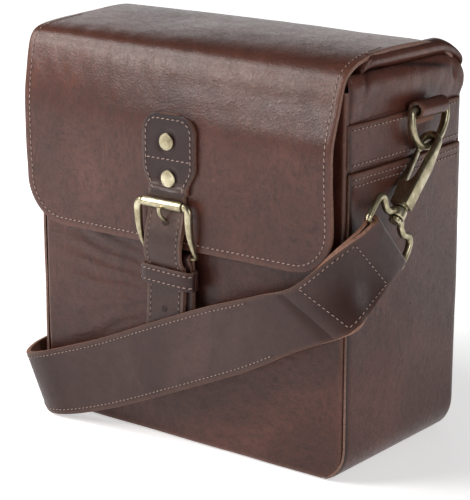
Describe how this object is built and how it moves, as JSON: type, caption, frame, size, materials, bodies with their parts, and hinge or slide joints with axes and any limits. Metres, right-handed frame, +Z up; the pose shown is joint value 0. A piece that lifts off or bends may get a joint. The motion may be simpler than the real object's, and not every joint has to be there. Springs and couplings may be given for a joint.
{
  "type": "camera bag",
  "caption": "Upright padded leather camera bag with a full front flap, buckled magnetic closure, side pockets, D-rings and a clip-on shoulder strap.",
  "frame": {"origin": "centre of the base, on the surface that the bag stands on", "axes": "+X to the right seen from the front, -Y out of the front face with the flap and buckle, +Z up"},
  "size_m": [0.2474, 0.1669, 0.2287],
  "materials": {
    "bag_leather": "waxed pull-up leather, fine pebble grain, satin",
    "tab_leather": "smooth waxed leather, raw light-brown edges",
    "strap_leather": "pull-up leather strap, two layers, raw light-brown edges",
    "lining_suede": "soft suede-like lining over foam",
    "stiffener_board": "plain board",
    "antique_brass": "antique brass plating, rubbed bright on the edges",
    "snap_steel": "plated steel cup"
  },
  "bodies": {
    "root": {"front_panel": "bag_leather", "back_panel": "bag_leather", "gusset": "bag_leather", "base_board": "stiffener_board", "pad_base": "lining_suede", "pad_front": "lining_suede", "pad_back": "lining_suede", "pad_left": "lining_suede", "pad_right": "lining_suede", "divider_pad": "lining_suede", "side_band_left": "bag_leather", "side_band_right": "bag_leather", "side_pocket_left": "bag_leather", "side_pocket_right": "bag_leather", "ring_chape_left": "tab_leather", "ring_chape_right": "tab_leather", "snap_stud": "snap_steel", "strap_long": "strap_leather", "strap_short": "strap_leather"},
    "flap_top": {"flap_top": "bag_leather"},
    "flap_front": {"flap_front": "bag_leather", "buckle_tab": "tab_leather", "rivet_upper": "antique_brass", "rivet_lower": "antique_brass"},
    "closure": {"billet": "tab_leather", "chape": "tab_leather", "keeper": "tab_leather", "buckle_frame": "antique_brass", "snap_cap": "snap_steel"},
    "roller": {"roller": "antique_brass"},
    "prong": {"prong": "antique_brass"},
    "ear_left": {"ear_left": "bag_leather"},
    "ear_right": {"ear_right": "bag_leather"},
    "d_ring_left": {"d_ring_left": "antique_brass"},
    "swivel_loop_left": {"swivel_loop_left": "antique_brass"},
    "hook_left": {"hook_left": "antique_brass", "gate_pin_left": "antique_brass", "swivel_pin_left": "antique_brass"},
    "gate_left": {"gate_left": "antique_brass"},
    "d_ring_right": {"d_ring_right": "antique_brass"},
    "swivel_loop_right": {"swivel_loop_right": "antique_brass"},
    "hook_right": {"hook_right": "antique_brass", "gate_pin_right": "antique_brass", "swivel_pin_right": "antique_brass"},
    "gate_right": {"gate_right": "antique_brass"}
  },
  "joints": [
    {"name": "lid_hinge", "type": "hinge", "parent": "root", "child": "flap_top", "pos_m": [0, 0.0553, 0.2024], "axis": [-1, 0, 0], "range_deg": [0, 105], "deforming": ["strap_long"]},
    {"name": "flap_fold", "type": "hinge", "parent": "flap_top", "child": "flap_front", "pos_m": [0, -0.0594, 0.21265], "axis": [-1, 0, 0], "range_deg": [0, 85]},
    {"name": "closure_lift", "type": "hinge", "parent": "flap_front", "child": "closure", "pos_m": [0, -0.0692, 0.1468], "axis": [-1, 0, 0], "range_deg": [0, 60]},
    {"name": "buckle_roller_spin", "type": "hinge", "parent": "closure", "child": "roller", "pos_m": [-0.002, -0.0713, 0.14], "axis": [1, 0, 0], "continuous": true},
    {"name": "prong_pivot", "type": "hinge", "parent": "closure", "child": "prong", "pos_m": [-0.002, -0.0642, 0.1104], "axis": [1, 0, 0], "range_deg": [0, 2.5]},
    {"name": "ear_left_fold", "type": "hinge", "parent": "root", "child": "ear_left", "pos_m": [-0.1004, 0, 0.2179], "axis": [0, -1, 0], "range_deg": [0, 84]},
    {"name": "ear_right_fold", "type": "hinge", "parent": "root", "child": "ear_right", "pos_m": [0.1004, 0, 0.2179], "axis": [0, 1, 0], "range_deg": [0, 84]},
    {"name": "d_ring_left_swing", "type": "hinge", "parent": "root", "child": "d_ring_left", "pos_m": [-0.1127, 0.01, 0.194], "axis": [0, 1, 0], "range_deg": [-1.5, 2]},
    {"name": "loop_left_pivot", "type": "hinge", "parent": "root", "child": "swivel_loop_left", "pos_m": [-0.11903, 0.04381, 0.12486], "axis": [0, -0.7915, -0.6112], "range_deg": [-0.95, 4.75]},
    {"name": "hook_left_swivel", "type": "hinge", "parent": "swivel_loop_left", "child": "hook_left", "pos_m": [-0.11779, 0.03222, 0.13987], "axis": [0.065, -0.6099, 0.7898], "range_deg": [-4, 4]},
    {"name": "gate_left_spring", "type": "hinge", "parent": "hook_left", "child": "gate_left", "pos_m": [-0.11399, 0.02472, 0.14959], "axis": [0, -0.7915, -0.6112], "range_deg": [0, 14], "stiffness_Nm_per_rad": 0.004, "springref_deg": -28.65},
    {"name": "d_ring_right_swing", "type": "hinge", "parent": "root", "child": "d_ring_right", "pos_m": [0.1127, 0.01, 0.194], "axis": [0, -1, 0], "range_deg": [-1.5, 2]},
    {"name": "loop_right_pivot", "type": "hinge", "parent": "root", "child": "swivel_loop_right", "pos_m": [0.11903, -0.03924, 0.13163], "axis": [0, 0.6821, -0.7312], "range_deg": [-0.95, 4.75]},
    {"name": "hook_right_swivel", "type": "hinge", "parent": "swivel_loop_right", "child": "hook_right", "pos_m": [0.11779, -0.02538, 0.14456], "axis": [-0.065, 0.7297, 0.6807], "range_deg": [-4, 4]},
    {"name": "gate_right_spring", "type": "hinge", "parent": "hook_right", "child": "gate_right", "pos_m": [0.11399, -0.0164, 0.15294], "axis": [0, 0.6821, -0.7312], "range_deg": [0, 14], "stiffness_Nm_per_rad": 0.004, "springref_deg": -28.65}
  ],
  "couplings": [
    {"joint": "ear_left_fold", "follows": "lid_hinge", "ratio": 0.8},
    {"joint": "ear_right_fold", "follows": "lid_hinge", "ratio": 0.8},
    {"joint": "loop_left_pivot", "follows": "d_ring_left_swing", "ratio": 0.317},
    {"joint": "loop_right_pivot", "follows": "d_ring_right_swing", "ratio": 0.317}
  ]
}
